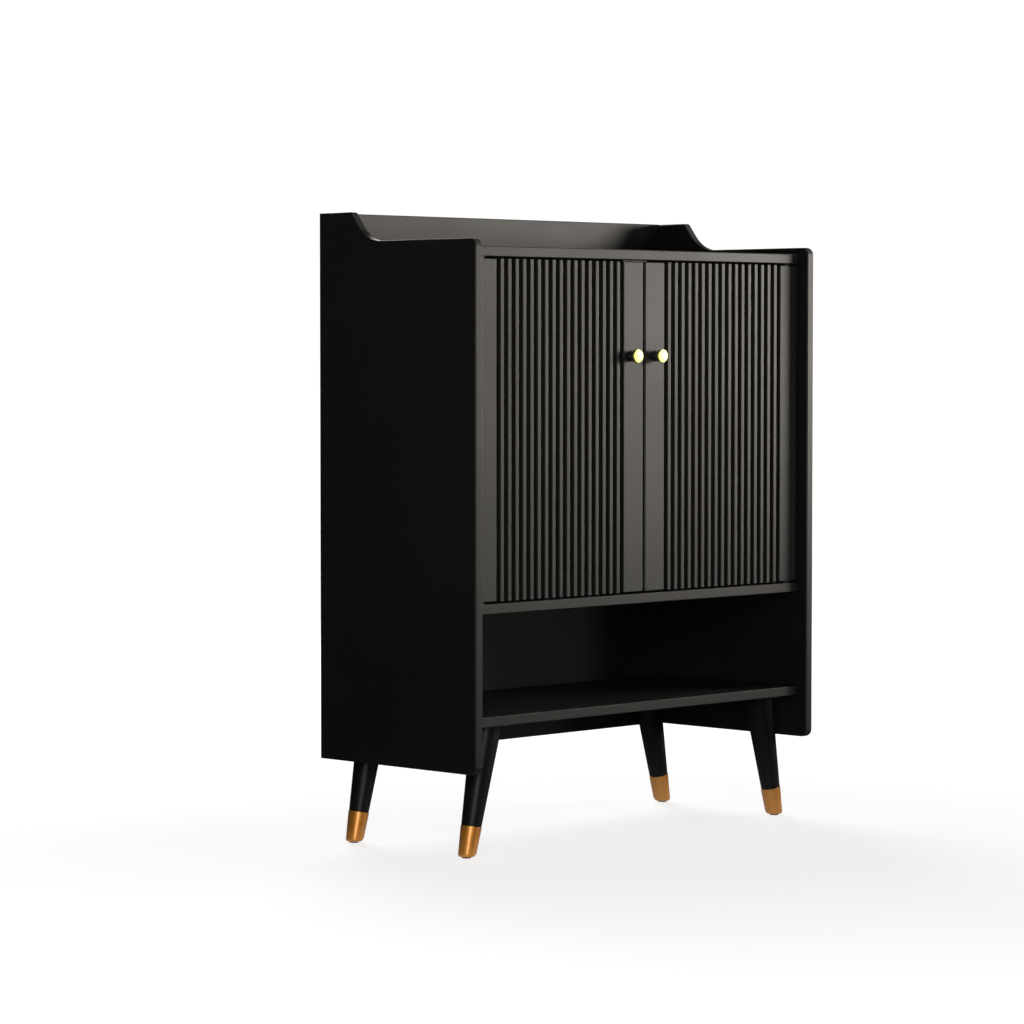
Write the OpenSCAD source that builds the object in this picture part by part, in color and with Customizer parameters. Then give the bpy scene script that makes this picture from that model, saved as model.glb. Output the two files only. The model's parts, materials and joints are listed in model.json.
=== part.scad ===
// Shoe cabinet with two slatted doors, an open bay, splayed legs and a raised back.
// Origin at floor level under the middle of the case, +X to the right, +Y to the back, +Z up.

/* [Case] */
// Overall width
body_w = 800; // [700:10:1000]
// Overall depth
body_d = 350; // [340:5:400]
// Overall height, to the top of the raised back
body_h = 1000; // [980:5:1040]
// Thickness of the case boards
board_t = 16; // [15:1:18]
// Height of the side panels' lower edges above the floor
side_z = 134; // [120:1:150]
// Height of the raised rear of the sides above their front part
side_rise = 46; // [30:1:50]
// Length of the raised flat, from the rear edge
crest_len = 72; // [60:1:100]
// Radius of the convex bend where the raised flat ends
crest_r = 6; // [4:1:12]
// Steepness of the slope down from the raised flat, in degrees
slope_angle = 52; // [45:1:60]
// Radius of the hollow bend at the foot of the slope
hollow_r = 60; // [15:1:70]
// Radius of the side panels' front corners
corner_r = 13; // [6:1:20]
// Setback of the top and the shelves behind the side panels' front edges
front_recess = 16; // [14:1:20]

/* [Levels] */
// Height of the top panel's upper face
top_z = 943; // [920:1:950]
// Height of the middle shelf's upper face
mid_z = 394; // [380:1:400]
// Height of the bottom panel's upper face
floor_z = 220; // [210:1:225]

/* [Doors] */
// Door thickness
door_t = 18; // [16:1:20]
// Setback of the doors behind the edges of the top and the shelves
door_setback = 2.5; // [2:0.5:4]
// Gap between the two doors
gap_mid = 4; // [2:0.5:4]
// Gap between a door and the side panel
gap_side = 2.5; // [2.5:0.1:3]
// Gap above and below a door
gap_end = 3; // [3:0.5:4]
// Width of the door stiles
stile_w = 46; // [40:1:60]
// Thickness of the board behind the slats
door_board_t = 8; // [6:1:9]
// Slats in each door
slat_count = 17; // [9:1:19]
// Width of one slat
slat_w = 8; // [6:0.5:8]
// Radius of the slats' front edges
slat_edge_r = 1.2; // [0.5:0.1:2]

/* [Knobs] */
// Height of the knobs above the floor
knob_z = 774; // [600:1:850]
// Distance of a knob from the middle of the cabinet
knob_x = 29; // [22:1:30]
// Diameter of the domed cap
knob_cap_d = 22; // [20:1:30]
// Distance from the door to the back of the cap
knob_reach = 11; // [10:1:14]

/* [Inner shelves] */
// Height of the first support hole row the shelves hang from
shelf_pin_z = 553.5; // [540:0.5:570]
// Pitch of the support holes
pin_pitch = 32; // [32:1:32]
// Rows between the lower and the upper shelf
shelf_rows = 6; // [5:1:6]
// Setback of the shelves behind the door front
shelf_setback = 40; // [36:1:60]

/* [Back] */
// Thickness of the back panel
back_t = 5; // [3:1:5]
// Depth of the grooves that hold it
groove_d = 5; // [4:0.5:5]
// Height of the raised back board
gallery_h = 120; // [110:1:140]
// Height of the rear board under the case
apron_h = 116; // [100:1:130]

/* [Legs] */
// Sideways splay of the legs, in degrees
leg_splay = 12; // [8:1:14]
// Radius of a leg at the floor
foot_r = 13.2; // [12:0.1:15]
// Radius of a leg under the case
leg_top_r = 24; // [20:0.5:24]
// Distance of the foot centres from the middle of the cabinet
foot_x = 366; // [340:1:370]
// Front foot centre, behind the side panels' front edge
foot_front = 54; // [50:1:70]
// Rear foot centre, ahead of the rear edge
foot_rear = 42; // [42:1:60]
// Height of the metal ferrules
ferrule_h = 48; // [30:1:60]
// Wall of the ferrules
ferrule_wall = 1.4; // [1:0.1:2]
// How far a ferrule stands proud of its leg
ferrule_proud = 0.7; // [0.2:0.1:1]
// Thickness of the glides under the feet
glide_t = 2; // [2:0.5:3]

/* [Hidden] */
$fn = 64;

// Small overlap that lets a cut run past a face
eps = 1;
// Radial clearance of a fixed piece in its hole
fit = 0.05;

// Faces of the case
half_w = body_w / 2;
inner_x = half_w - board_t;
y_front = -body_d / 2;
y_rear = body_d / 2;
y_face = y_front + front_recess;
y_door = y_face + door_setback;
y_rail = y_rear - board_t;
side_front_z = body_h - side_rise;
crest_y = y_rear - crest_len;
slope_foot_y = crest_y - side_rise / tan(slope_angle);
bend_steps = 12;

// Back panel and its grooves
groove_w = back_t + 0.2;
groove_y = y_rail - 9;
groove_z0 = floor_z - groove_d;
groove_z1 = top_z - board_t + groove_d;
back_grip = groove_d - 0.5;

// Doors
door_w = inner_x - gap_side - gap_mid / 2;
door_z0 = mid_z + gap_end;
door_z1 = top_z - board_t - gap_end;
door_h = door_z1 - door_z0;
y_door_back = y_door + door_t;
door_x0 = gap_mid / 2;
door_x1 = door_x0 + door_w;
rebate_w = 10;
slat_d = door_t - door_board_t;
field_x0 = door_x0 + stile_w;
field_w = door_w - 2 * stile_w;
groove_gap = (field_w - slat_count * slat_w) / (slat_count + 1);
slat_pitch = slat_w + groove_gap;

// Door pivots
pivot_x = inner_x - 22;
pivot_y = y_door + door_t / 2;
pin_r = 3;
pin_depth = 22;
pin_reach = 8;
collar_r = 4.5;
collar_t = 1.3;
bush_r = 5;
bush_len = 11;
bush_bore_r = pin_r + 0.05;
flange_r = 6.5;
flange_t = gap_end - collar_t - 0.2;

// Knob
knob_base_r = 9;
knob_base_t = 2;
knob_neck_r = 5;
knob_cup_r = knob_cap_d / 2 - 1;
knob_cup_t = 3.5;
knob_cap_t = 1.6;
knob_dome = 2.4;
knob_bolt_r = 2;
knob_thread_depth = 7.5;
screw_head_r = 4;
screw_head_t = 2.4;

// Magnetic catch
catch_w = 56;
catch_dep = 24;
catch_h = 20;
catch_gap = 0.3;
strike_t = 1.5;
strike_r = 6.5;
strike_stud_r = 2;
strike_stud_l = 8;
strike_x = 16;
catch_y = y_door_back + strike_t + catch_gap;
catch_z = top_z - board_t - catch_h;
magnet_w = 16;
magnet_h = 10;
magnet_dep = 6;

// Case joints: cam locks and dowels
cam_y = [-60, 75];
dowel_y = [-100, 115];
cam_set = 34;
cam_r = 7.5;
cam_depth = 12.5;
cam_head_r = 3.5;
cam_shaft_r = 2.5;
cam_head_l = 6;
cam_thread_l = 10;
dowel_r = 4;
dowel_half = 14;
dowel_in_side = 10;
level_z = [top_z - board_t / 2, mid_z - board_t / 2, floor_z - board_t / 2];

// Rear boards
gallery_z = body_h - gallery_h;
rail_dowel_inset = 24;
rail_screw_x = [-260, 0, 260];
rail_screw_r = 2;
rail_screw_l = 40;
rail_head_r = 4.2;
rail_head_t = 2.6;
rail_screw_z = [top_z - 6, floor_z - board_t + 6];

// Inner shelves and their supports
shelf_gap = 1;
shelf_y0 = y_door + shelf_setback;
shelf_y1 = groove_y - 1;
peg_r = 2.5;
peg_in = 8;
peg_out = 8;
pad_r = 4;
pin_col_y = [-80, 110];
pin_rows_below = 2;
pin_row_count = shelf_rows + 1 + 2 * pin_rows_below;
pin_hole_depth = 9;
lower_shelf_z = shelf_pin_z + peg_r;
upper_shelf_z = lower_shelf_z + shelf_rows * pin_pitch;

// Legs
leg_plate_t = 2.5;
leg_plate_size = [58, 50];
plate_z = floor_z - board_t - leg_plate_t;
leg_len = plate_z / cos(leg_splay);
leg_slope = (leg_top_r - foot_r) / leg_len;
leg_over = 30;
ferrule_len = ferrule_h / cos(leg_splay);
leg_top_x = foot_x - (floor_z - board_t) * tan(leg_splay);
foot_y = [y_front + foot_front, y_rear - foot_rear];
foot_edge_r = 4;
foot_core = 6;
glide_r = foot_r - 6;
leg_bolt_r = 4;
leg_bolt_in = 34;
leg_bolt_up = 7;
bolt_room_r = 8;
bolt_room_h = 10;
plate_screw_r = 1.8;
plate_screw_l = 12;
plate_screw_off = [24, 19];
plate_head_r = 3.4;
plate_head_t = 1.8;

PAINT = [0.13, 0.125, 0.12];
DOOR_PAINT = [0.2, 0.19, 0.18];
BRASS = [0.8, 0.52, 0.22];
PALE_BRASS = [0.88, 0.8, 0.5];
STEEL = [0.7, 0.7, 0.72];
DARK = [0.05, 0.05, 0.05];
BEECH = [0.8, 0.66, 0.45];

// ---------- helpers ----------

// Draws its children, and their mirror image in the middle plane
module both_sides() {
    children();
    mirror([1, 0, 0]) children();
}

// Moves a left-hand drawing to the left and a right-hand one to the right
module on_side(side) {
    mirror([side < 0 ? 1 : 0, 0, 0]) children();
}

// A rod along +X from a point
module rod_x(x, y, z, r, len) {
    translate([x, y, z]) rotate([0, 90, 0]) cylinder(r = r, h = len);
}

// A rod along +Y from a point
module rod_y(x, y, z, r, len) {
    translate([x, y, z]) rotate([-90, 0, 0]) cylinder(r = r, h = len);
}

// A box between two corners
module block(p, q) {
    translate(p) cube([q[0] - p[0], q[1] - p[1], q[2] - p[2]]);
}

// ---------- side panels ----------

// Square corner at the origin, rounded by radius r and lying in the first quadrant
module corner_waste(r) {
    difference() {
        translate([-eps, -eps]) square(r + eps);
        translate([r, r]) circle(r = r);
    }
}

// Points of an arc about a centre, from one angle to another
function arc(centre, r, from, to) = [for (i = [0 : bend_steps])
    let (a = from + (to - from) * i / bend_steps) centre + r * [cos(a), sin(a)]];

// Outline of a side panel, depth across and height up
module side_outline() {
    crest_arm = crest_r * tan(slope_angle / 2);
    hollow_arm = hollow_r * tan(slope_angle / 2);
    crest_bend = arc([crest_y + crest_arm, body_h - crest_r], crest_r, 90, 90 + slope_angle);
    hollow_bend = arc([slope_foot_y - hollow_arm, side_front_z + hollow_r], hollow_r,
        slope_angle - 90, -90);
    difference() {
        polygon(concat([[y_front, side_z], [y_rear, side_z], [y_rear, body_h]], crest_bend, hollow_bend,
            [[y_front, side_front_z]]));
        translate([y_front, side_z]) corner_waste(corner_r);
        translate([y_front, side_front_z]) mirror([0, 1]) corner_waste(corner_r);
    }
}

// Holes bored into the inner face of the right-hand panel
module side_bores() {
    for (z = level_z) {
        for (y = cam_y) rod_x(inner_x - eps, y, z, cam_shaft_r + fit, cam_thread_l + eps + 1);
        for (y = dowel_y) rod_x(inner_x - eps, y, z, dowel_r + fit, dowel_in_side + eps + 1);
    }
    for (z = rail_dowel_z()) {
        rod_x(inner_x - eps, y_rail + board_t / 2, z, dowel_r + fit, dowel_in_side + eps + 1);
    }
    for (row = [0 : pin_row_count - 1], y = pin_col_y) {
        rod_x(inner_x - eps, y, shelf_pin_z + (row - pin_rows_below) * pin_pitch,
            peg_r + fit, pin_hole_depth + eps);
    }
}

module side_panel() {
    color(PAINT) difference() {
        translate([inner_x, 0, 0]) rotate([90, 0, 90]) linear_extrude(board_t) side_outline();
        side_bores();
        block([inner_x - eps, groove_y, groove_z0], [inner_x + groove_d, groove_y + groove_w, groove_z1]);
    }
}

module side_panel_left() {
    on_side(-1) side_panel();
}

module side_panel_right() {
    on_side(1) side_panel();
}

// ---------- horizontal boards ----------

// Bores in both ends of a board whose middle height is z
module end_bores(z) {
    both_sides() {
        for (y = cam_y) {
            rod_x(inner_x - cam_set, y, z, dowel_r, cam_set + eps);
            translate([inner_x - cam_set, y, z - board_t / 2 - eps])
                cylinder(r = cam_r + fit, h = cam_depth + eps);
        }
        for (y = dowel_y) {
            rod_x(inner_x - 2 * dowel_half + dowel_in_side - 1, y, z, dowel_r + fit, 2 * dowel_half);
        }
    }
}

// A full-width board with its end bores; z is its upper face
module case_board(z, y_end) {
    difference() {
        block([-inner_x, y_face, z - board_t], [inner_x, y_end, z]);
        end_bores(z - board_t / 2);
    }
}

module rail_pilots(z) {
    for (x = rail_screw_x) {
        rod_y(x, y_rear - rail_screw_l - 1, z, rail_screw_r + fit, rail_screw_l);
    }
}

module top_panel() {
    color(PAINT) difference() {
        case_board(top_z, y_rail);
        block([-inner_x - eps, groove_y, top_z - board_t - eps],
            [inner_x + eps, groove_y + groove_w, groove_z1]);
        both_sides() bush_seat(top_z - board_t, 1);
        catch_pilots();
        rail_pilots(rail_screw_z[0]);
    }
}

module mid_shelf() {
    color(PAINT) difference() {
        case_board(mid_z, groove_y);
        both_sides() bush_seat(mid_z, -1);
    }
}

module bottom_panel() {
    color(PAINT) difference() {
        case_board(floor_z, y_rail);
        block([-inner_x - eps, groove_y, groove_z0],
            [inner_x + eps, groove_y + groove_w, floor_z + eps]);
        rail_pilots(rail_screw_z[1]);
        both_sides() for (y = foot_y) {
            translate([leg_top_x, y, floor_z - board_t - eps])
                cylinder(r = bolt_room_r, h = bolt_room_h + eps);
            plate_screw_places(y)
                translate([0, 0, leg_plate_t - eps]) cylinder(r = plate_screw_r + fit, h = plate_screw_l);
        }
    }
}

module inner_shelf(z) {
    color(PAINT) block([-inner_x + shelf_gap, shelf_y0, z], [inner_x - shelf_gap, shelf_y1, z + board_t]);
}

module inner_shelf_lower() {
    inner_shelf(lower_shelf_z);
}

module inner_shelf_upper() {
    inner_shelf(upper_shelf_z);
}

// ---------- back ----------

module back_panel() {
    color(PAINT) block([-inner_x - back_grip, groove_y + 0.1, floor_z - back_grip],
        [inner_x + back_grip, groove_y + 0.1 + back_t, top_z - board_t + back_grip]);
}

// Heights of the dowels that join the rear boards to the sides
function rail_dowel_z() = [gallery_z + rail_dowel_inset, body_h - rail_dowel_inset,
    side_z + rail_dowel_inset, side_z + apron_h - rail_dowel_inset];

module rail_end_bores(heights) {
    both_sides() for (z = heights) {
        rod_x(inner_x - 2 * dowel_half + dowel_in_side - 1, y_rail + board_t / 2, z,
            dowel_r + fit, 2 * dowel_half);
    }
}

// Clearance and countersink of the screws through a rear board
module rail_screw_holes(z) {
    for (x = rail_screw_x) {
        rod_y(x, y_rail - eps, z, rail_screw_r + 0.2, board_t + 2 * eps);
        translate([x, y_rear - rail_head_t - 0.1, z]) rotate([-90, 0, 0])
            cylinder(r1 = rail_screw_r + 0.2, r2 = rail_head_r + 0.2, h = rail_head_t + 0.1);
        rod_y(x, y_rear - 0.01, z, rail_head_r + 0.2, eps);
    }
}

module gallery_rail() {
    heights = rail_dowel_z();
    color(PAINT) difference() {
        block([-inner_x, y_rail, gallery_z], [inner_x, y_rear, body_h]);
        rail_end_bores([heights[0], heights[1]]);
        rail_screw_holes(rail_screw_z[0]);
    }
}

module rear_apron() {
    heights = rail_dowel_z();
    color(PAINT) difference() {
        block([-inner_x, y_rail, side_z], [inner_x, y_rear, side_z + apron_h]);
        rail_end_bores([heights[2], heights[3]]);
        rail_screw_holes(rail_screw_z[1]);
    }
}

// ---------- case hardware ----------

module cam_locks() {
    color(STEEL) both_sides() for (z = level_z, y = cam_y) {
        difference() {
            translate([inner_x - cam_set, y, z - board_t / 2]) cylinder(r = cam_r, h = cam_depth - 0.5);
            rod_x(inner_x - cam_set - cam_head_l / 2 - 0.3, y, z, cam_head_r + 0.3, cam_r * 2);
            for (turn = [0, 90]) {
                translate([inner_x - cam_set, y, z - board_t / 2]) rotate(turn)
                    cube([8, 1.4, 4], center = true);
            }
        }
    }
}

module cam_bolts() {
    color(STEEL) both_sides() for (z = level_z, y = cam_y) {
        rod_x(inner_x - cam_set - cam_head_l / 2, y, z, cam_head_r, cam_head_l);
        rod_x(inner_x - cam_set, y, z, cam_shaft_r, cam_set + cam_thread_l);
        rod_x(inner_x - 3, y, z, cam_head_r, 3);
    }
}

module dowels() {
    color(BEECH) both_sides() {
        for (z = level_z, y = dowel_y) {
            rod_x(inner_x + dowel_in_side - 2 * dowel_half, y, z, dowel_r, 2 * dowel_half);
        }
        for (z = rail_dowel_z()) {
            rod_x(inner_x + dowel_in_side - 2 * dowel_half, y_rail + board_t / 2, z, dowel_r,
                2 * dowel_half);
        }
    }
}

module rail_screws() {
    color(STEEL) for (z = rail_screw_z, x = rail_screw_x) difference() {
        union() {
            rod_y(x, y_rear - rail_screw_l, z, rail_screw_r, rail_screw_l - rail_head_t);
            translate([x, y_rear - rail_head_t, z]) rotate([-90, 0, 0])
                cylinder(r1 = rail_screw_r, r2 = rail_head_r, h = rail_head_t);
        }
        for (turn = [0, 90]) {
            translate([x, y_rear, z]) rotate([0, turn, 0]) cube([4.4, 2.4, 0.9], center = true);
        }
    }
}

// Pegs with a flat-topped pad under the shelf
module shelf_pins() {
    color(STEEL) both_sides() for (z = [lower_shelf_z, upper_shelf_z], y = pin_col_y) difference() {
        union() {
            rod_x(inner_x, y, z - peg_r, peg_r, peg_in);
            rod_x(inner_x - peg_out, y, z - peg_r, pad_r, peg_out);
        }
        block([inner_x - peg_out - eps, y - 2 * pad_r, z], [inner_x, y + 2 * pad_r, z + 2 * pad_r]);
    }
}

// ---------- legs ----------

// Puts a drawing made along +Z from the foot centre on the splayed axis of a right-hand leg
module on_leg_axis(y) {
    translate([foot_x, y, 0]) rotate([0, -leg_splay, 0]) children();
}

// Keeps what lies between two heights
module slab(z0, z1) {
    intersection() {
        children();
        block([0, y_front, z0], [half_w, y_rear, z1]);
    }
}

// Cone of the leg's outer surface between two stations along its axis, inset by a wall
module leg_cone(s0, s1, inset) {
    translate([0, 0, s0])
        cylinder(r1 = foot_r + leg_slope * s0 - inset, r2 = foot_r + leg_slope * s1 - inset, h = s1 - s0);
}

module leg(y) {
    color(PAINT) difference() {
        slab(glide_t + foot_core, plate_z) on_leg_axis(y) {
            leg_cone(ferrule_len + 0.1, leg_len + leg_over, 0);
            leg_cone(-foot_r, ferrule_len + 0.1, ferrule_wall + fit);
        }
        on_leg_axis(y) translate([0, 0, leg_len - leg_bolt_in - 2])
            cylinder(r = leg_bolt_r + fit, h = leg_bolt_in + leg_over);
    }
}

// Solid with a rounded lower edge that trims the bottom of a ferrule
module foot_trim(y) {
    core = foot_r + ferrule_proud - foot_edge_r;
    translate([foot_x - glide_t * tan(leg_splay), y, glide_t]) rotate_extrude() {
        square([core, 2 * ferrule_h]);
        translate([0, foot_edge_r]) square([2 * foot_r, 2 * ferrule_h]);
        intersection() {
            translate([core, foot_edge_r]) circle(r = foot_edge_r);
            square([2 * foot_r, foot_edge_r]);
        }
    }
}

module ferrule(y) {
    color(BRASS) difference() {
        intersection() {
            on_leg_axis(y) leg_cone(-foot_r, ferrule_len, -ferrule_proud);
            foot_trim(y);
        }
        slab(glide_t + foot_core, 2 * ferrule_h) on_leg_axis(y)
            leg_cone(-foot_r, ferrule_len + eps, ferrule_wall);
    }
}

module leg_front_left() {
    on_side(-1) leg(foot_y[0]);
}

module leg_front_right() {
    on_side(1) leg(foot_y[0]);
}

module leg_rear_left() {
    on_side(-1) leg(foot_y[1]);
}

module leg_rear_right() {
    on_side(1) leg(foot_y[1]);
}

module ferrule_front_left() {
    on_side(-1) ferrule(foot_y[0]);
}

module ferrule_front_right() {
    on_side(1) ferrule(foot_y[0]);
}

module ferrule_rear_left() {
    on_side(-1) ferrule(foot_y[1]);
}

module ferrule_rear_right() {
    on_side(1) ferrule(foot_y[1]);
}

module foot_glides() {
    color(DARK) both_sides() for (y = foot_y) {
        translate([foot_x, y, 0]) cylinder(r = glide_r, h = glide_t);
    }
}

// The four screw places of the plate over a leg, at the plate's lower face
module plate_screw_places(y) {
    for (dx = [-1, 1], dy = [-1, 1]) {
        translate([leg_top_x + dx * plate_screw_off[0], y + dy * plate_screw_off[1], plate_z]) children();
    }
}

module leg_plates() {
    color(STEEL) both_sides() for (y = foot_y) difference() {
        translate([leg_top_x, y, plate_z + leg_plate_t / 2])
            cube([leg_plate_size[0], leg_plate_size[1], leg_plate_t], center = true);
        on_leg_axis(y) cylinder(r = leg_bolt_r + 0.2, h = leg_len + leg_over);
        plate_screw_places(y)
            translate([0, 0, -eps]) cylinder(r = plate_screw_r + 0.3, h = leg_plate_t + 2 * eps);
    }
}

module leg_plate_screws() {
    color(STEEL) both_sides() for (y = foot_y) plate_screw_places(y) difference() {
        union() {
            translate([0, 0, -plate_head_t]) cylinder(r = plate_head_r, h = plate_head_t);
            cylinder(r = plate_screw_r, h = plate_screw_l);
        }
        for (turn = [0, 90]) {
            translate([0, 0, -plate_head_t]) rotate(turn) cube([4, 0.8, 2], center = true);
        }
    }
}

module leg_bolts() {
    color(STEEL) both_sides() for (y = foot_y) on_leg_axis(y) {
        translate([0, 0, leg_len - leg_bolt_in]) cylinder(r = leg_bolt_r, h = leg_bolt_in + leg_bolt_up);
    }
}

// ---------- door pivots and catch ----------

// Seat of a bush in a board face at height z; way is +1 above the face and -1 below it
module bush_seat(z, way) {
    translate([pivot_x, pivot_y, z]) mirror([0, 0, way < 0 ? 1 : 0]) translate([0, 0, -eps])
        cylinder(r = bush_r + fit, h = bush_len + eps);
}

// Flanged bush let into a board face; way is +1 above the face and -1 below it
module bush(z, way) {
    translate([pivot_x, pivot_y, z]) mirror([0, 0, way < 0 ? 1 : 0]) difference() {
        union() {
            translate([0, 0, -flange_t]) cylinder(r = flange_r, h = flange_t);
            cylinder(r = bush_r, h = bush_len - 0.5);
        }
        translate([0, 0, -flange_t - eps]) cylinder(r = bush_bore_r, h = bush_len + flange_t + 2 * eps);
    }
}

module pivot_bushes() {
    color(DARK) both_sides() {
        bush(top_z - board_t, 1);
        bush(mid_z, -1);
    }
}

module catch_body() {
    color(DARK) difference() {
        block([-catch_w / 2, catch_y + 0.5, catch_z], [catch_w / 2, catch_y + catch_dep, catch_z + catch_h]);
        both_sides() magnet_place(fit);
        both_sides() catch_screw_place() {
            translate([0, 0, -eps]) cylinder(r = plate_screw_r + 0.2, h = catch_h + 2 * eps);
            translate([0, 0, -eps]) cylinder(r = plate_head_r + 0.2, h = 5 + eps);
        }
    }
}

// Block of one magnet, grown by a clearance
module magnet_place(gap) {
    z = catch_z + catch_h / 2;
    block([strike_x - magnet_w / 2 - gap, catch_y, z - magnet_h / 2 - gap],
        [strike_x + magnet_w / 2 + gap, catch_y + magnet_dep + gap, z + magnet_h / 2 + gap]);
}

module catch_magnets() {
    color(STEEL) both_sides() magnet_place(0);
}

// Screw axis of the catch, at the catch's lower face
module catch_screw_place() {
    translate([strike_x, catch_y + catch_dep - 8, catch_z]) children();
}

module catch_pilots() {
    both_sides() catch_screw_place()
        cylinder(r = plate_screw_r + fit, h = catch_h + 10);
}

module catch_screws() {
    color(STEEL) both_sides() catch_screw_place() difference() {
        union() {
            translate([0, 0, 5 - plate_head_t]) cylinder(r = plate_head_r, h = plate_head_t);
            translate([0, 0, 5]) cylinder(r = plate_screw_r, h = catch_h + 4);
        }
        for (turn = [0, 90]) {
            translate([0, 0, 5 - plate_head_t]) rotate(turn) cube([4, 0.8, 2], center = true);
        }
    }
}

// ---------- doors, drawn as the right-hand door ----------

// Upright of a door with a rebate for the board at its inner rear edge
module stile(x0, rebate_x) {
    difference() {
        block([x0, y_door, door_z0], [x0 + stile_w, y_door_back, door_z1]);
        block([rebate_x, y_door_back - door_board_t, door_z0 - eps],
            [rebate_x + rebate_w, y_door_back + eps, door_z1 + eps]);
    }
}

module hinge_stile() {
    color(DOOR_PAINT) difference() {
        stile(door_x1 - stile_w, door_x1 - stile_w);
        translate([pivot_x, pivot_y, door_z0 - eps]) cylinder(r = pin_r + fit, h = pin_depth + eps);
        translate([pivot_x, pivot_y, door_z1 - pin_depth]) cylinder(r = pin_r + fit, h = pin_depth + eps);
    }
}

module meeting_stile() {
    color(DOOR_PAINT) difference() {
        stile(door_x0, field_x0 - rebate_w);
        rod_y(knob_x, y_door - eps, knob_z, knob_bolt_r + 0.2, door_t + 2 * eps);
        rod_y(strike_x, y_door_back - strike_stud_l - 0.5, catch_z + catch_h / 2,
            strike_stud_r + fit, strike_stud_l + eps);
    }
}

module door_board() {
    color(DOOR_PAINT) block([field_x0 - rebate_w + fit, y_door_back - door_board_t, door_z0],
        [field_x0 + field_w + rebate_w - fit, y_door_back, door_z1]);
}

// Cross-section of a slat, its front edges rounded
module slat_outline() {
    translate([0, slat_edge_r]) square([slat_w, slat_d - slat_edge_r]);
    translate([slat_edge_r, 0]) square([slat_w - 2 * slat_edge_r, slat_d]);
    for (x = [slat_edge_r, slat_w - slat_edge_r]) {
        translate([x, slat_edge_r]) circle(r = slat_edge_r);
    }
}

module slats() {
    color(DOOR_PAINT) for (i = [0 : slat_count - 1]) {
        translate([field_x0 + groove_gap + i * slat_pitch, y_door, door_z0])
            linear_extrude(door_h) slat_outline();
    }
}

// Stepped pin in the door's upper or lower edge
module pivot_pin(z, way) {
    translate([pivot_x, pivot_y, z]) mirror([0, 0, way < 0 ? 1 : 0]) {
        translate([0, 0, -pin_depth + 1]) cylinder(r = pin_r, h = pin_depth - 1 + gap_end + pin_reach);
        cylinder(r = collar_r, h = collar_t);
    }
}

module pivot_pins() {
    color(STEEL) {
        pivot_pin(door_z1, 1);
        pivot_pin(door_z0, -1);
    }
}

// Turns a drawing made along +Z into one that stands on the door front at the knob
module on_knob_axis() {
    translate([knob_x, y_door, knob_z]) rotate([90, 0, 0]) children();
}

// Waisted stem with a cup for the cap, threaded from behind
module knob_stem() {
    neck_top = knob_reach - knob_cup_t;
    color(DARK) on_knob_axis() difference() {
        rotate_extrude() difference() {
            union() {
                square([knob_base_r, knob_base_t]);
                square([knob_cup_r, neck_top - eps]);
                translate([0, neck_top - eps]) square([knob_cup_r, knob_cup_t + eps]);
            }
            translate([knob_neck_r + (neck_top - knob_base_t) / 2, (neck_top + knob_base_t) / 2])
                circle(r = (neck_top - knob_base_t) / 2);
            translate([knob_neck_r + (neck_top - knob_base_t) / 2, knob_base_t])
                square([knob_cup_r, neck_top - knob_base_t]);
            translate([knob_base_r, -eps]) square([knob_cup_r, knob_base_t + 2 * eps]);
        }
        translate([0, 0, -eps]) cylinder(r = knob_bolt_r + fit, h = knob_thread_depth + eps);
    }
}

// Domed cap: a short rim under a slice of a sphere
module knob_cap() {
    rim_r = knob_cap_d / 2;
    dome_r = (rim_r * rim_r + knob_dome * knob_dome) / (2 * knob_dome);
    color(PALE_BRASS) on_knob_axis() translate([0, 0, knob_reach]) rotate_extrude() {
        square([rim_r, knob_cap_t]);
        intersection() {
            translate([0, knob_cap_t + knob_dome - dome_r]) circle(r = dome_r, $fn = 180);
            translate([0, knob_cap_t - 0.01]) square([rim_r, 2 * knob_dome]);
        }
    }
}

module knob_screw() {
    color(STEEL) on_knob_axis() difference() {
        union() {
            translate([0, 0, -door_t]) cylinder(r = knob_bolt_r, h = door_t + knob_thread_depth - 1);
            translate([0, 0, -door_t - screw_head_t]) cylinder(r = screw_head_r, h = screw_head_t);
        }
        for (turn = [0, 90]) {
            translate([0, 0, -door_t - screw_head_t]) rotate(turn) cube([4.4, 0.9, 2.4], center = true);
        }
    }
}

module strike_plate() {
    color(STEEL) {
        rod_y(strike_x, y_door_back, catch_z + catch_h / 2, strike_r, strike_t);
        rod_y(strike_x, y_door_back - strike_stud_l, catch_z + catch_h / 2, strike_stud_r,
            strike_stud_l + strike_t);
    }
}

module left_hinge_stile() {
    on_side(-1) hinge_stile();
}

module left_meeting_stile() {
    on_side(-1) meeting_stile();
}

module left_door_board() {
    on_side(-1) door_board();
}

module left_slats() {
    on_side(-1) slats();
}

module left_pivot_pins() {
    on_side(-1) pivot_pins();
}

module left_knob_stem() {
    on_side(-1) knob_stem();
}

module left_knob_cap() {
    on_side(-1) knob_cap();
}

module left_knob_screw() {
    on_side(-1) knob_screw();
}

module left_strike_plate() {
    on_side(-1) strike_plate();
}

module right_hinge_stile() {
    on_side(1) hinge_stile();
}

module right_meeting_stile() {
    on_side(1) meeting_stile();
}

module right_door_board() {
    on_side(1) door_board();
}

module right_slats() {
    on_side(1) slats();
}

module right_pivot_pins() {
    on_side(1) pivot_pins();
}

module right_knob_stem() {
    on_side(1) knob_stem();
}

module right_knob_cap() {
    on_side(1) knob_cap();
}

module right_knob_screw() {
    on_side(1) knob_screw();
}

module right_strike_plate() {
    on_side(1) strike_plate();
}

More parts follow.
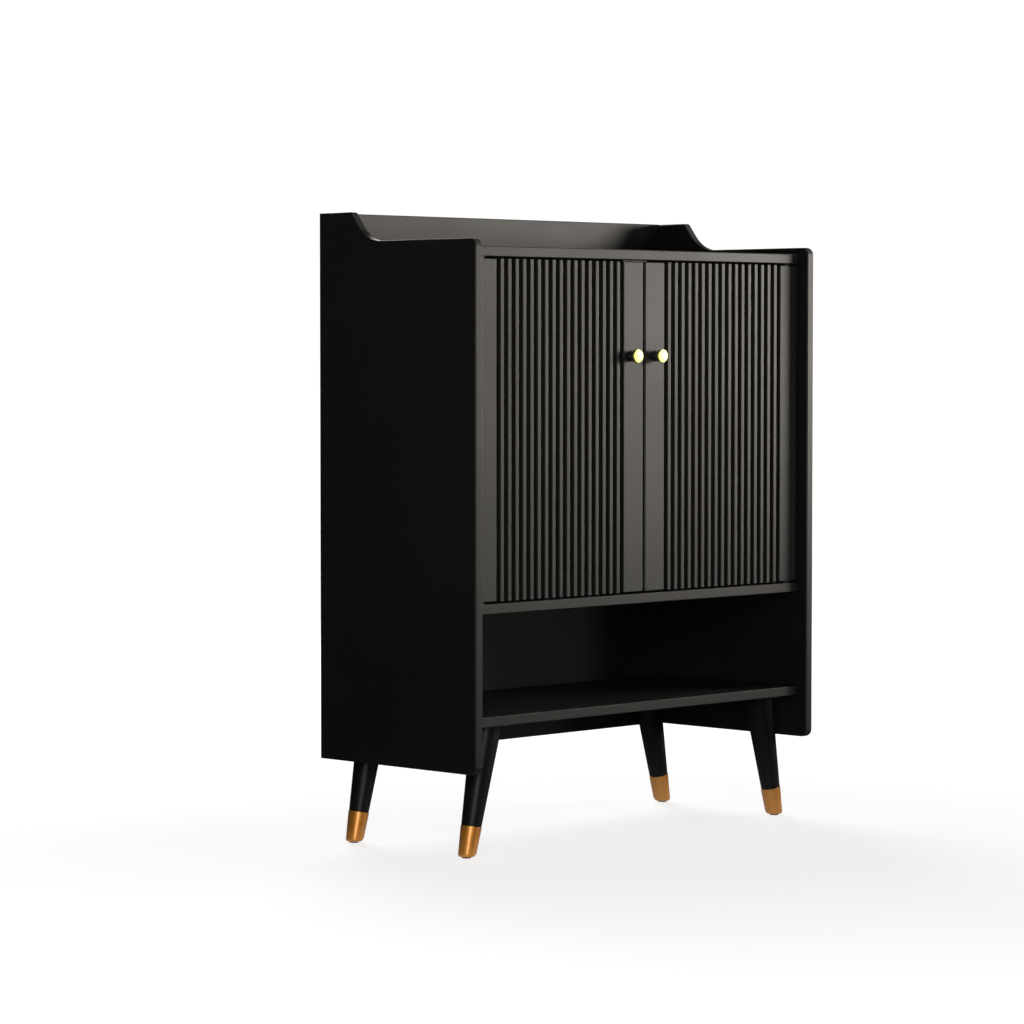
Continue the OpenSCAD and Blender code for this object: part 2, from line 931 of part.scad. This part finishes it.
side_panel_left();
side_panel_right();
top_panel();
mid_shelf();
bottom_panel();
back_panel();
gallery_rail();
rear_apron();
inner_shelf_lower();
inner_shelf_upper();
shelf_pins();
cam_locks();
cam_bolts();
dowels();
rail_screws();
leg_front_left();
leg_front_right();
leg_rear_left();
leg_rear_right();
ferrule_front_left();
ferrule_front_right();
ferrule_rear_left();
ferrule_rear_right();
foot_glides();
leg_plates();
leg_plate_screws();
leg_bolts();
pivot_bushes();
catch_body();
catch_magnets();
catch_screws();
left_hinge_stile();
left_meeting_stile();
left_door_board();
left_slats();
left_pivot_pins();
left_knob_stem();
left_knob_cap();
left_knob_screw();
left_strike_plate();
right_hinge_stile();
right_meeting_stile();
right_door_board();
right_slats();
right_pivot_pins();
right_knob_stem();
right_knob_cap();
right_knob_screw();
right_strike_plate();
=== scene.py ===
import json
import math

import bmesh
import bpy
from mathutils import Matrix, Vector


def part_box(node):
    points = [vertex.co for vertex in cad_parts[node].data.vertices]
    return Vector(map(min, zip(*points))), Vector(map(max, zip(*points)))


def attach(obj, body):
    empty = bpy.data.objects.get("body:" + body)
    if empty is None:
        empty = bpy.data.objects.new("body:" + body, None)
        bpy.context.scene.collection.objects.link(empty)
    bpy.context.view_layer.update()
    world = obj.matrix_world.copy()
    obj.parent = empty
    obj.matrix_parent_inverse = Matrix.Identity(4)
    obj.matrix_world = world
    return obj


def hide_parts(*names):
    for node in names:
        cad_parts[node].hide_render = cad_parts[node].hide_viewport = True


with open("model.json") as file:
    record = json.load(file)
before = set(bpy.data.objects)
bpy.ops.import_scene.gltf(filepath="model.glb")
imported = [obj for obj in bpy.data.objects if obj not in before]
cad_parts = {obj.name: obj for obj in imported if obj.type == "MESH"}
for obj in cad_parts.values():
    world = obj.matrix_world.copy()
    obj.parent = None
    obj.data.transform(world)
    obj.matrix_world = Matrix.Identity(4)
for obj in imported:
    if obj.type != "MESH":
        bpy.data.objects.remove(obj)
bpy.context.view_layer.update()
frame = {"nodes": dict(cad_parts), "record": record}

MM = 0.001
MICRONS_PER_M = 1e6
NODES = frame["nodes"]
HANDS = ("left", "right")

# Closer than this, in metres, two points are one, or a point lies on a plane
SAME_POINT = 1e-6
SAME_PLANE = 1e-5

# How far each family of boards has its edges rounded over
SIDE_EASE = 2.4 * MM
CASE_EASE = 1.6 * MM
DOOR_EASE = 1.3 * MM
MEETING_EASE = 2.4 * MM
FERRULE_EASE = 0.4 * MM

# An edge that turns by more than the first is shaded as a corner, by more than the second is a rim,
# and by less than the third lies in one flat face
CORNER_ANGLE = math.radians(35)
RIM_ANGLE = math.radians(60)
FLAT_ANGLE = math.radians(0.4)

CASE_BOARDS = ["top_panel", "mid_shelf", "bottom_panel", "back_panel", "gallery_rail", "rear_apron",
               "inner_shelf_lower", "inner_shelf_upper"]
SIDE_PANELS = [f"side_panel_{hand}" for hand in HANDS]
DOOR_BOARDS = [f"{hand}_{part}" for hand in HANDS for part in ("hinge_stile", "door_board")]
MEETING_STILES = [f"{hand}_meeting_stile" for hand in HANDS]
FERRULES = [f"ferrule_{end}_{hand}" for end in ("front", "rear") for hand in HANDS]


# ---------- node materials ----------

# What shows where black paint is rubbed thin on a corner, and how far it shows at most
RUBBED_PAINT = (0.045, 0.040, 0.034)
RUBBED_SHARE = 0.30

# How strongly each black paint mirrors, where 0.5 is a plain gloss paint
BOARD_MIRROR, LEG_MIRROR, METAL_MIRROR = 0.42, 0.24, 0.5

# The clear coat over the ferrules' brass
LACQUER_ROUGHNESS, LACQUER_IOR = 0.16, 1.75


class Shader:
    """A node material with a Principled shader, and short calls that add and join nodes."""

    def __init__(self, name):
        self.material = bpy.data.materials.new(name)
        self.material.use_nodes = True
        self.tree = self.material.node_tree
        self.surface = self.tree.nodes["Principled BSDF"]
        self.coords = self.add("ShaderNodeTexCoord").outputs["Object"]

    def add(self, kind, **settings):
        node = self.tree.nodes.new(kind)
        for key, value in settings.items():
            setattr(node, key, value)
        return node

    def join(self, source, target):
        self.tree.links.new(source, target)

    def stretched(self, scale):
        """Object coordinates scaled by a triple, so that a pattern runs along one axis."""
        mapping = self.add("ShaderNodeMapping")
        mapping.inputs["Scale"].default_value = scale
        self.join(self.coords, mapping.inputs["Vector"])
        return mapping.outputs["Vector"]

    def noise(self, scale, detail=3.0, roughness=0.55, vector=None, distortion=0.0):
        node = self.add("ShaderNodeTexNoise")
        node.inputs["Scale"].default_value = scale
        node.inputs["Detail"].default_value = detail
        node.inputs["Roughness"].default_value = roughness
        node.inputs["Distortion"].default_value = distortion
        self.join(vector or self.coords, node.inputs["Vector"])
        return node.outputs["Fac"]

    def spread(self, source, low, high, from_low=0.3, from_high=0.7):
        """Maps a grey value from one range to another."""
        node = self.add("ShaderNodeMapRange")
        node.inputs["From Min"].default_value = from_low
        node.inputs["From Max"].default_value = from_high
        node.inputs["To Min"].default_value = low
        node.inputs["To Max"].default_value = high
        self.join(source, node.inputs["Value"])
        return node.outputs["Result"]

    def blend(self, factor, first, second):
        """Mixes two colours, each a triple or another node's output."""
        node = self.add("ShaderNodeMix", data_type="RGBA")
        self.join(factor, node.inputs["Factor"])
        for socket, value in (("A", first), ("B", second)):
            target = [s for s in node.inputs if s.name == socket and s.type == "RGBA"][0]
            if isinstance(value, tuple):
                target.default_value = (*value, 1)
            else:
                self.join(value, target)
        return [s for s in node.outputs if s.type == "RGBA"][0]

    def bump(self, height, depth, below=None):
        """Adds relief of a depth in metres over an earlier relief."""
        node = self.add("ShaderNodeBump")
        node.inputs["Strength"].default_value = 1.0
        node.inputs["Distance"].default_value = depth
        self.join(height, node.inputs["Height"])
        if below:
            self.join(below, node.inputs["Normal"])
        return node.outputs["Normal"]

    def shine(self, roughness, mask, drop):
        """Lowers a roughness by a drop where a mask is high."""
        node = self.add("ShaderNodeMath", operation="MULTIPLY_ADD")
        self.join(mask, node.inputs[0])
        node.inputs[1].default_value = -drop
        self.join(roughness, node.inputs[2])
        return node.outputs["Value"]

    def edge_wear(self, reach):
        """A mask that rises where the surface turns a corner within a reach, broken up by noise."""
        rounded = self.add("ShaderNodeBevel", samples=4)
        rounded.inputs["Radius"].default_value = reach
        plain = self.add("ShaderNodeNewGeometry")
        turn = self.add("ShaderNodeVectorMath", operation="DOT_PRODUCT")
        self.join(rounded.outputs["Normal"], turn.inputs[0])
        self.join(plain.outputs["Normal"], turn.inputs[1])
        rim = self.spread(turn.outputs["Value"], 1.0, 0.0, 0.80, 0.995)
        patches = self.spread(self.noise(60, detail=4), 0.15, 1.0, 0.42, 0.62)
        product = self.add("ShaderNodeMath", operation="MULTIPLY")
        self.join(rim, product.inputs[0])
        self.join(patches, product.inputs[1])
        return product.outputs["Value"]

    def finish(self, colour, roughness, normal, **constants):
        """Joins the three patterns, sets the other inputs to constants and gives the material."""
        for value, socket in ((colour, "Base Color"), (roughness, "Roughness"), (normal, "Normal")):
            self.join(value, self.surface.inputs[socket])
        for key, value in constants.items():
            self.surface.inputs[key.replace("_", " ")].default_value = value
        return self.material


def painted_board(name, dark, light, roughness, grain, wear_reach):
    """Sprayed satin paint on fibreboard: orange peel, faint upright grain and uneven gloss."""
    s = Shader(name)
    cloud = s.noise(5, detail=4)
    speck = s.noise(420, detail=2)
    fibres = s.noise(1, detail=4, roughness=0.6, vector=s.stretched((260, 260, 9)))
    peel = s.noise(650, detail=1.5)
    tone = s.blend(s.spread(cloud, 0.0, 1.0), dark, light)
    tone = s.blend(s.spread(speck, 0.0, 0.10, 0.55, 0.8), tone, tuple(min(1, c * 2.2) for c in light))
    rubbed = s.edge_wear(wear_reach)
    tone = s.blend(s.spread(rubbed, 0.0, RUBBED_SHARE, 0.0, 1.0), tone, RUBBED_PAINT)
    gloss = s.shine(s.spread(cloud, roughness - 0.035, roughness + 0.035), rubbed, 0.07)
    relief = s.bump(peel, 0.010 * MM)
    relief = s.bump(fibres, grain, relief)
    return s.finish(tone, gloss, relief, Specular_IOR_Level=BOARD_MIRROR)


def turned_paint(name, dark, light, mirror):
    """Black paint over a turned piece: long grain showing through and fine turning marks."""
    s = Shader(name)
    cloud = s.noise(14, detail=4)
    grain = s.noise(1, detail=5, roughness=0.6, vector=s.stretched((420, 420, 14)))
    turning = s.noise(1, detail=2, vector=s.stretched((3, 3, 900)))
    tone = s.blend(s.spread(cloud, 0.0, 1.0), dark, light)
    rubbed = s.edge_wear(1.2 * MM)
    tone = s.blend(s.spread(rubbed, 0.0, RUBBED_SHARE, 0.0, 1.0), tone, RUBBED_PAINT)
    gloss = s.shine(s.spread(cloud, 0.31, 0.41), rubbed, 0.06)
    relief = s.bump(grain, 0.03 * MM)
    relief = s.bump(turning, 0.008 * MM, relief)
    return s.finish(tone, gloss, relief, Specular_IOR_Level=mirror)


def spun_metal(name, dark, light, marks, depth, metal=1.0, lacquer=0.0):
    """Metal with fine marks left by spinning and a faint tarnish, bare or lacquered."""
    s = Shader(name)
    tarnish = s.noise(38, detail=4)
    lines = s.noise(1, detail=2, vector=s.stretched(marks))
    tone = s.blend(s.spread(tarnish, 0.0, 1.0), dark, light)
    gloss = s.spread(tarnish, 0.35, 0.46)
    relief = s.bump(lines, depth)
    return s.finish(tone, gloss, relief, Metallic=metal, Coat_Weight=lacquer,
                    Coat_Roughness=LACQUER_ROUGHNESS, Coat_IOR=LACQUER_IOR)


def zinc_plate(name):
    """Zinc-plated steel: crystal speckle and small scratches."""
    s = Shader(name)
    cells = s.add("ShaderNodeTexVoronoi")
    cells.inputs["Scale"].default_value = 700
    s.join(s.coords, cells.inputs["Vector"])
    scratch = s.noise(1, detail=3, vector=s.stretched((900, 60, 900)))
    tone = s.blend(s.spread(cells.outputs["Distance"], 0.0, 1.0, 0.0, 0.9),
                   (0.50, 0.51, 0.53), (0.66, 0.66, 0.67))
    gloss = s.spread(scratch, 0.28, 0.46)
    return s.finish(tone, gloss, s.bump(scratch, 0.006 * MM), Metallic=1.0)


def moulded(name, dark, light, roughness, scale=1300, depth=0.02 * MM):
    """Moulded plastic or rubber with a spark-eroded skin."""
    s = Shader(name)
    skin = s.noise(scale, detail=2)
    cloud = s.noise(30, detail=3)
    tone = s.blend(s.spread(cloud, 0.0, 1.0), dark, light)
    gloss = s.spread(skin, roughness - 0.06, roughness + 0.06)
    return s.finish(tone, gloss, s.bump(skin, depth))


def beech_wood(name):
    """Raw beech: pale rings along the peg and short dark flecks."""
    s = Shader(name)
    rings = s.noise(1, detail=4, distortion=0.6, vector=s.stretched((25, 300, 300)))
    flecks = s.noise(1, detail=2, vector=s.stretched((140, 1500, 1500)))
    tone = s.blend(s.spread(rings, 0.0, 1.0), (0.62, 0.43, 0.25), (0.80, 0.62, 0.41))
    tone = s.blend(s.spread(flecks, 0.0, 0.7, 0.6, 0.75), tone, (0.35, 0.2, 0.1))
    return s.finish(tone, s.spread(rings, 0.55, 0.7), s.bump(flecks, 0.03 * MM))


PAINT = {
    # The case's copy of the satin black is darker than the doors' copy of the same paint: painted
    # shade, so that the side facing away from the lights stays dark
    "case_paint": painted_board("satin_black_case_painted_shade", (0.0050, 0.0047, 0.0039), (0.0072, 0.0068, 0.0057),
                                0.53, 0.012 * MM, 2.0 * MM),
    "door_paint": painted_board("satin_black_door", (0.0072, 0.0070, 0.0062), (0.0104, 0.0101, 0.0091),
                                0.52, 0.008 * MM, 0.6 * MM),
    "leg_paint": turned_paint("satin_black_turned", (0.007, 0.0067, 0.0063), (0.011, 0.0105, 0.010),
                              LEG_MIRROR),
    "brass": spun_metal("warm_brass", (0.92, 0.34, 0.03), (1.0, 0.42, 0.055),
                        marks=(3, 3, 1500), depth=0.0006 * MM, metal=0.72, lacquer=1.0),
    "pale_brass": spun_metal("pale_brass", (0.90, 0.85, 0.21), (0.96, 0.92, 0.28),
                             marks=(900, 3, 900), depth=0.002 * MM),
    "black_metal": turned_paint("satin_black_metal", (0.007, 0.007, 0.0068), (0.011, 0.011, 0.0105),
                                METAL_MIRROR),
    "steel": zinc_plate("zinc_plated_steel"),
    "black_plastic": moulded("black_moulded_plastic", (0.012, 0.012, 0.012), (0.02, 0.02, 0.02), 0.5),
    "glide_rubber": moulded("black_felt_rubber", (0.015, 0.014, 0.013), (0.028, 0.026, 0.024), 0.8,
                            scale=2400, depth=0.08 * MM),
    "beech": beech_wood("raw_beech"),
}
SLOT_OF = {row["node"]: row["material_slot"] for row in frame["record"]["subparts"]}


def paint(obj, slot):
    """Gives an object one material slot's material."""
    obj.data.materials.clear()
    obj.data.materials.append(PAINT[slot])


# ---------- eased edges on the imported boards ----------
# A test takes an edge and its angle, and answers how much of the rounding that edge gets, from 0 to 1

def place_key(co):
    """A point to the nearest micron, so that the same corner of two meshes has the same key."""
    return tuple(round(c * MICRONS_PER_M) for c in co)


def edge_key(a, b):
    """An edge's key, whichever way round its ends are given."""
    return tuple(sorted((place_key(a), place_key(b))))


def on_box_edge(low, high):
    """A test for edges that lie on two outer planes of a box."""
    def test(edge, _angle):
        a, b = (v.co for v in edge.verts)
        planes = sum(1 for i in range(3) for plane in (low[i], high[i])
                     if abs(a[i] - plane) < SAME_PLANE and abs(b[i] - plane) < SAME_PLANE)
        return planes >= 2
    return test


def on_meeting_stile(low, high):
    """As on_box_edge, but only the edges beside the other door get the full rounding."""
    box_edge = on_box_edge(low, high)
    middle = min(abs(low.x), abs(high.x))

    def test(edge, angle):
        if not box_edge(edge, angle):
            return 0.0
        beside = all(abs(abs(v.co.x) - middle) < SAME_PLANE for v in edge.verts)
        return 1.0 if beside else DOOR_EASE / MEETING_EASE
    return test


def on_panel_outline(low, high):
    """A test for the rim of a panel that stands across X: a wall there spans its whole thickness."""
    def test(edge, _angle):
        a, b = (v.co for v in edge.verts)
        if abs(a.x - b.x) > SAME_PLANE or min(abs(a.x - low.x), abs(a.x - high.x)) > SAME_PLANE:
            return False
        for face in edge.link_faces:
            xs = [v.co.x for v in face.verts]
            is_wall = abs(face.normal.x) < 0.5
            if is_wall and min(xs) < low.x + SAME_PLANE and max(xs) > high.x - SAME_PLANE:
                return True
        return False
    return test


def on_upper_rim(low, high):
    """A test for the sharp rims in the upper half of a ferrule."""
    def test(edge, angle):
        return angle > RIM_ANGLE and all(v.co.z > (low.z + high.z) / 2 for v in edge.verts)
    return test


def ease_edges(node, width, outline):
    """Rounds the outline edges of a packed board over, by modifiers, and keeps its bores crisp."""
    obj = NODES[node]
    mesh = obj.data
    welded = bmesh.new()
    welded.from_mesh(mesh)
    bmesh.ops.remove_doubles(welded, verts=welded.verts, dist=SAME_POINT)
    test = outline(*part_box(node))
    rounded, corners = {}, set()
    for edge in welded.edges:
        if len(edge.link_faces) != 2:
            continue
        angle = edge.calc_face_angle(0.0)
        if angle < CORNER_ANGLE:
            continue
        key = edge_key(edge.verts[0].co, edge.verts[1].co)
        amount = float(test(edge, angle))
        if amount:
            rounded[key] = amount
        else:
            corners.add(key)
    welded.free()
    weight = mesh.attributes.get("bevel_weight_edge")
    weight = weight or mesh.attributes.new("bevel_weight_edge", "FLOAT", "EDGE")
    sharp = mesh.attributes.get("sharp_edge") or mesh.attributes.new("sharp_edge", "BOOLEAN", "EDGE")
    for edge in mesh.edges:
        a, b = (mesh.vertices[i].co for i in edge.vertices)
        key = edge_key(a, b)
        weight.data[edge.index].value = rounded.get(key, 0.0)
        sharp.data[edge.index].value = key in corners
    for polygon in mesh.polygons:
        polygon.use_smooth = True
    if mesh.attributes.get("custom_normal"):
        mesh.attributes.remove(mesh.attributes["custom_normal"])
    obj.modifiers.new("weld", "WELD").merge_threshold = SAME_POINT
    flat = obj.modifiers.new("flat", "DECIMATE")
    flat.decimate_type = "DISSOLVE"
    flat.angle_limit = FLAT_ANGLE
    flat.delimit = {"SHARP"}
    bevel = obj.modifiers.new("ease", "BEVEL")
    bevel.limit_method = "WEIGHT"
    bevel.width = width
    bevel.segments = 3
    bevel.use_clamp_overlap = False
    bevel.harden_normals = True
    # Sliding along the splits of a bored face would fold the rounding over at the corners
    bevel.loop_slide = False


# ---------- pieces built here ----------

def lathe(name, profile, steps=96):
    """A solid of revolution about +Z from (radius, height) points; ends on the axis close it."""
    mesh = bpy.data.meshes.new(name)
    bm = bmesh.new()
    rings = []
    for radius, height in profile:
        if radius < SAME_POINT:
            rings.append([bm.verts.new((0, 0, height))])
            continue
        ring = []
        for k in range(steps):
            a = 2 * math.pi * k / steps
            ring.append(bm.verts.new((radius * math.cos(a), radius * math.sin(a), height)))
        rings.append(ring)
    for lower, upper in zip(rings, rings[1:]):
        for k in range(steps):
            n = (k + 1) % steps
            if len(lower) == 1:
                bm.faces.new((lower[0], upper[k], upper[n]))
            elif len(upper) == 1:
                bm.faces.new((lower[k], lower[n], upper[0]))
            else:
                bm.faces.new((lower[k], lower[n], upper[n], upper[k]))
    bmesh.ops.recalc_face_normals(bm, faces=bm.faces)
    for face in bm.faces:
        face.smooth = True
    bm.to_mesh(mesh)
    bm.free()
    obj = bpy.data.objects.new(name, mesh)
    bpy.context.scene.collection.objects.link(obj)
    return obj


def arc(centre, radius, start, end, steps):
    """Points of a circular arc in a profile, angles in degrees."""
    points = []
    for k in range(steps + 1):
        a = math.radians(start + (end - start) * k / steps)
        points.append((centre[0] + radius * math.cos(a), centre[1] + radius * math.sin(a)))
    return points


def face_front(obj, x, y, z):
    """Turns a lathe piece from +Z to face the front, and sets its base at a point."""
    obj.data.transform(Matrix.Translation((x, y, z)) @ Matrix.Rotation(math.radians(90), 4, "X"))


def knob_axis(hand):
    """Where a knob's axis meets the door, from its packed cap."""
    low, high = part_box(f"{hand}_knob_cap")
    return (low.x + high.x) / 2, (low.z + high.z) / 2


def knob_stem(hand):
    """A waisted black stem between a foot on the door and a cup under the cap."""
    low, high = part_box(f"{hand}_knob_stem")
    x, z = knob_axis(hand)
    reach = high.y - low.y
    cup_r = (high.x - low.x) / 2
    foot_r, foot_t, neck_r, cup_t, lip = 9 * MM, 2 * MM, 5 * MM, 3.5 * MM, 0.6 * MM
    waist_r = (reach - cup_t - foot_t) / 2
    profile = [(0, 0), (foot_r - lip, 0)]
    profile += arc((foot_r - lip, lip), lip, -90, 0, 4)
    profile += arc((foot_r - lip, foot_t - lip), lip, 0, 90, 4)
    profile += arc((neck_r + waist_r, foot_t + waist_r), waist_r, 250, 110, 20)
    profile += arc((cup_r - lip, reach - cup_t + lip), lip, -90, 0, 4)
    profile += arc((cup_r - lip, reach - lip), lip, 0, 90, 4)
    profile += [(0, reach)]
    stem = lathe(f"{hand}_knob_stem_turned", profile)
    face_front(stem, x, high.y, z)
    paint(stem, "black_metal")
    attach(stem, f"{hand}_door")
    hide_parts(f"{hand}_knob_stem")


def knob_cap(hand):
    """A pale domed cap with a rolled rim."""
    low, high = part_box(f"{hand}_knob_cap")
    x, z = knob_axis(hand)
    rim_r = (high.x - low.x) / 2
    thick = high.y - low.y
    roll, shoulder, dome = 0.4 * MM, 1.2 * MM, 0.4 * MM
    crown = rim_r - shoulder
    dome_r = (crown ** 2 + dome ** 2) / (2 * dome)
    sweep = math.degrees(math.asin(crown / dome_r))
    profile = [(0, 0), (rim_r - roll, 0)]
    profile += arc((rim_r - roll, roll), roll, -90, 0, 4)
    profile += arc((crown, thick - dome - shoulder), shoulder, 0, 90 - sweep, 8)
    profile += arc((0, thick - dome_r), dome_r, 90 - sweep, 90, 18)[1:-1]
    profile += [(0, thick)]
    cap = lathe(f"{hand}_knob_cap_domed", profile)
    face_front(cap, x, high.y, z)
    paint(cap, "pale_brass")
    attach(cap, f"{hand}_door")
    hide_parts(f"{hand}_knob_cap")


for node, obj in NODES.items():
    paint(obj, SLOT_OF[node])
for node in CASE_BOARDS:
    ease_edges(node, CASE_EASE, on_box_edge)
for node in SIDE_PANELS:
    ease_edges(node, SIDE_EASE, on_panel_outline)
for node in DOOR_BOARDS:
    ease_edges(node, DOOR_EASE, on_box_edge)
for node in MEETING_STILES:
    ease_edges(node, MEETING_EASE, on_meeting_stile)
for node in FERRULES:
    ease_edges(node, FERRULE_EASE, on_upper_rim)
for hand in HANDS:
    knob_stem(hand)
    knob_cap(hand)


# ---------- stage, light and camera ----------

# Tints of the lights
WARM, MILD, NEUTRAL = (1.0, 0.94, 0.87), (1.0, 0.95, 0.90), (1.0, 0.97, 0.93)

# Place, aim, width and height in metres, power in watts, tint, and the beam's spread in degrees
LIGHTS = {
    # A focused beam from the right, which fades down the doors
    "key": ((3.32, -1.65, 1.08), (0.05, -0.10, 1.02), 1.35, 0.75, 8.7, WARM, 44),
    "right_above": ((2.3, -0.7, 2.9), (0.0, 0.0, 0.9), 1.0, 1.0, 12, MILD, 180),
    # These two draw the bright lines down the legs and the ferrules
    "view_core": ((-2.3, -2.2, 0.95), (0.0, 0.0, 0.25), 1.1, 1.5, 30, NEUTRAL, 180),
    "view_wide": ((-2.6, -2.5, 0.90), (0.0, 0.0, 0.25), 4.6, 1.7, 6, NEUTRAL, 180),
    "bay_fill": ((1.75, -2.85, 0.50), (0.0, 0.0, 0.30), 0.6, 0.4, 0.5, NEUTRAL, 52),
    "rear_fill": ((1.6, 3.0, 2.2), (0.0, 0.1, 0.5), 2.0, 2.0, 110, NEUTRAL, 180),
}


def floor():
    """A pale floor that fades into the white backdrop, and can be looked through from below.

    Reflections show it only close by, so that the tall black faces stay black.
    """
    radius, steps = 14.0, 96
    near_glow, far_glow, glow_from, glow_to = 0.78, 1.05, 0.6, 2.6
    mirrored_glow, mirrored_reach = 0.36, 0.36
    mesh = bpy.data.meshes.new("floor")
    rim = [(radius * math.cos(2 * math.pi * k / steps), radius * math.sin(2 * math.pi * k / steps), 0)
           for k in range(steps)]
    mesh.from_pydata(rim, [], [list(range(steps))])
    obj = bpy.data.objects.new("floor", mesh)
    bpy.context.scene.collection.objects.link(obj)
    s = Shader("pale_floor")
    away = s.add("ShaderNodeVectorMath", operation="LENGTH")
    s.join(s.coords, away.inputs[0])
    glow = s.spread(away.outputs["Value"], near_glow, far_glow, glow_from, glow_to)
    path = s.add("ShaderNodeLightPath")
    mirrored = s.spread(path.outputs["Ray Length"], mirrored_glow, 0.0, 0.0, mirrored_reach)
    strength = s.add("ShaderNodeMix", data_type="FLOAT")
    s.join(path.outputs["Is Glossy Ray"], strength.inputs["Factor"])
    s.join(glow, strength.inputs["A"])
    s.join(mirrored, strength.inputs["B"])
    s.join(strength.outputs["Result"], s.surface.inputs["Emission Strength"])
    s.surface.inputs["Emission Color"].default_value = (1, 1, 1, 1)
    s.join(s.blend(path.outputs["Is Glossy Ray"], (0.3, 0.3, 0.3), (0.0, 0.0, 0.0)),
           s.surface.inputs["Base Color"])
    s.surface.inputs["Roughness"].default_value = 0.9
    s.surface.inputs["Specular IOR Level"].default_value = 0.1
    from_above = s.add("ShaderNodeMath", operation="SUBTRACT")
    from_above.inputs[0].default_value = 1.0
    s.join(s.add("ShaderNodeNewGeometry").outputs["Backfacing"], from_above.inputs[1])
    s.join(from_above.outputs["Value"], s.surface.inputs["Alpha"])
    mesh.materials.append(s.material)
    obj.visible_diffuse = False


def backdrop():
    """White to the camera, and only a faint even fill on the object."""
    world = bpy.data.worlds.new("studio")
    bpy.context.scene.world = world
    world.use_nodes = True
    tree = world.node_tree
    tree.nodes.clear()
    path = tree.nodes.new("ShaderNodeLightPath")
    seen = tree.nodes.new("ShaderNodeBackground")
    fill = tree.nodes.new("ShaderNodeBackground")
    mix = tree.nodes.new("ShaderNodeMixShader")
    out = tree.nodes.new("ShaderNodeOutputWorld")
    seen.inputs["Color"].default_value = (1, 1, 1, 1)
    seen.inputs["Strength"].default_value = 1.05
    fill.inputs["Color"].default_value = (1.0, 0.95, 0.88, 1)
    fill.inputs["Strength"].default_value = 0.02
    tree.links.new(path.outputs["Is Camera Ray"], mix.inputs["Fac"])
    tree.links.new(fill.outputs[0], mix.inputs[1])
    tree.links.new(seen.outputs[0], mix.inputs[2])
    tree.links.new(mix.outputs[0], out.inputs["Surface"])


def soft_light(name, place, aim, width, height, watts, tint, spread):
    """A rectangular lamp that the camera doesn't see."""
    data = bpy.data.lights.new(name, "AREA")
    data.shape = "RECTANGLE"
    data.size = width
    data.size_y = height
    data.energy = watts
    data.color = tint
    data.spread = math.radians(spread)
    obj = bpy.data.objects.new(name, data)
    bpy.context.scene.collection.objects.link(obj)
    obj.location = place
    obj.rotation_euler = (Vector(aim) - Vector(place)).to_track_quat("-Z", "Y").to_euler()
    obj.visible_camera = False


def photo_camera():
    """Long lens at the height of the knobs, looking from the left front and slightly down."""
    data = bpy.data.cameras.new("photo_view")
    data.lens = 128.5
    data.sensor_width = 36.0
    data.clip_end = 100
    obj = bpy.data.objects.new("photo_view", data)
    bpy.context.scene.collection.objects.link(obj)
    obj.location = (-4.326, -4.104, 0.791)
    tilt_down, turn_right = 2.61, 45.55
    obj.rotation_euler = (math.radians(90 - tilt_down), 0, math.radians(-turn_right))
    bpy.context.scene.camera = obj


floor()
backdrop()
for name, settings in LIGHTS.items():
    soft_light(name, *settings)
photo_camera()
bpy.context.scene.view_settings.view_transform = "Standard"
